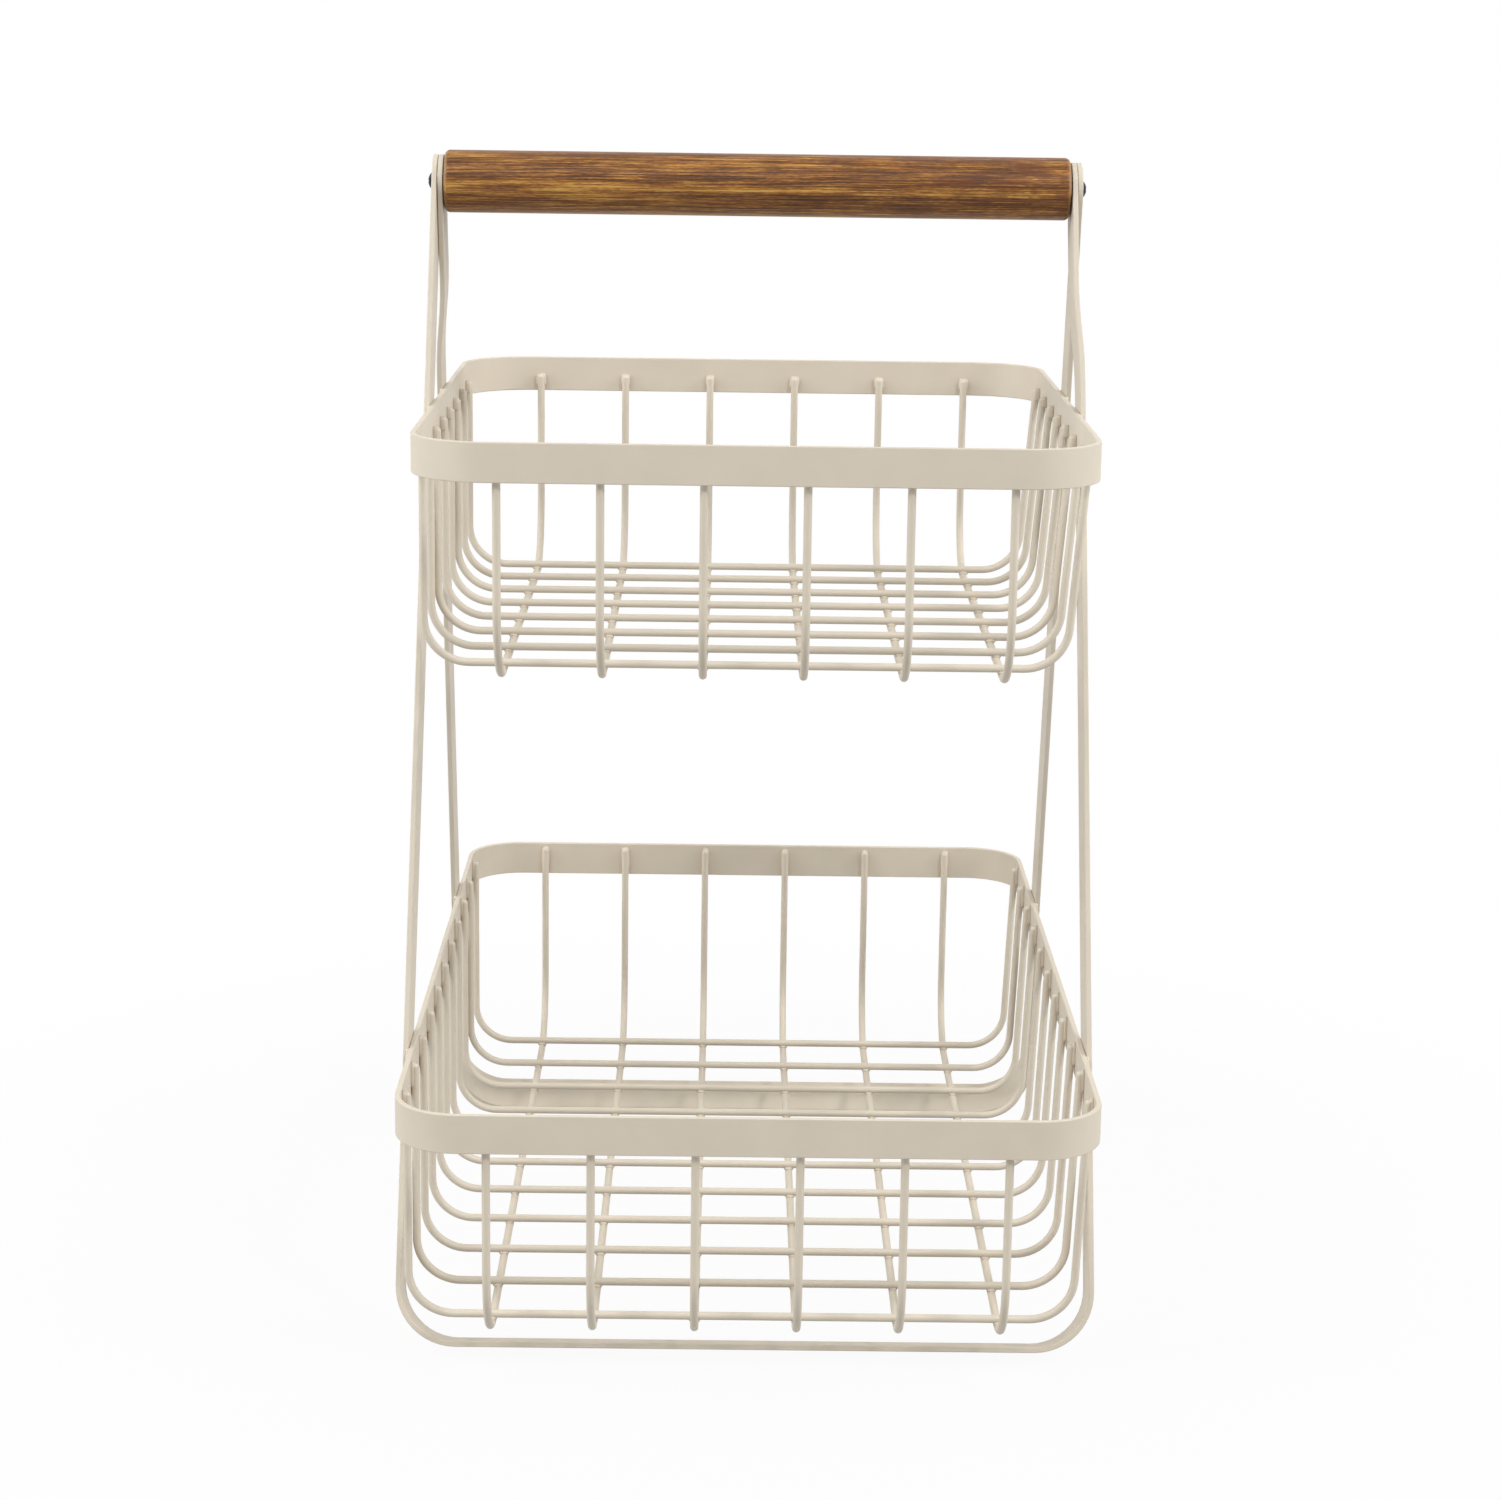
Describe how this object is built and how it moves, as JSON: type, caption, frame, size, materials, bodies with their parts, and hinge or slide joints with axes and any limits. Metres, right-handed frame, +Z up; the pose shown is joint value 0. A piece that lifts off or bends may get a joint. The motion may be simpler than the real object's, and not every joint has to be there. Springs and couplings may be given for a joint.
{
  "type": "tiered wire basket",
  "caption": "Free-standing two-tier basket of coated wire on crossed strap hoops, carried by a round bamboo grip that turns on its end screws.",
  "frame": {"origin": "on the ground, below the middle of the grip", "axes": "+X to the right along the grip, +Y from the front to the back, +Z up"},
  "size_m": [0.26, 0.386, 0.4371],
  "materials": {
    "coated_steel": "warm grey powder coat, satin",
    "stained_bamboo": "dark stained bamboo under clear satin lacquer, grain along the grip",
    "screw_steel": "black oxide, semi-gloss"
  },
  "bodies": {
    "frame": {"front_hoop": "coated_steel", "rear_hoop": "coated_steel", "upper_rim": "coated_steel", "lower_rim": "coated_steel", "upper_long_wire_1": "coated_steel", "upper_long_wire_2": "coated_steel", "upper_long_wire_3": "coated_steel", "upper_long_wire_4": "coated_steel", "upper_long_wire_5": "coated_steel", "upper_long_wire_6": "coated_steel", "upper_cross_wire_1": "coated_steel", "upper_cross_wire_2": "coated_steel", "upper_cross_wire_3": "coated_steel", "upper_cross_wire_4": "coated_steel", "upper_cross_wire_5": "coated_steel", "upper_cross_wire_6": "coated_steel", "upper_cross_wire_7": "coated_steel", "upper_cross_wire_8": "coated_steel", "lower_long_wire_1": "coated_steel", "lower_long_wire_2": "coated_steel", "lower_long_wire_3": "coated_steel", "lower_long_wire_4": "coated_steel", "lower_long_wire_5": "coated_steel", "lower_long_wire_6": "coated_steel", "lower_cross_wire_1": "coated_steel", "lower_cross_wire_2": "coated_steel", "lower_cross_wire_3": "coated_steel", "lower_cross_wire_4": "coated_steel", "lower_cross_wire_5": "coated_steel", "lower_cross_wire_6": "coated_steel", "lower_cross_wire_7": "coated_steel", "lower_cross_wire_8": "coated_steel", "lower_cross_wire_9": "coated_steel", "lower_cross_wire_10": "coated_steel", "lower_cross_wire_11": "coated_steel"},
    "grip": {"handle_grip": "stained_bamboo", "left_screw": "screw_steel", "right_screw": "screw_steel"}
  },
  "joints": [
    {"name": "grip_spin", "type": "hinge", "parent": "frame", "child": "grip", "pos_m": [0, 0, 0.42508], "axis": [1, 0, 0], "continuous": true}
  ]
}
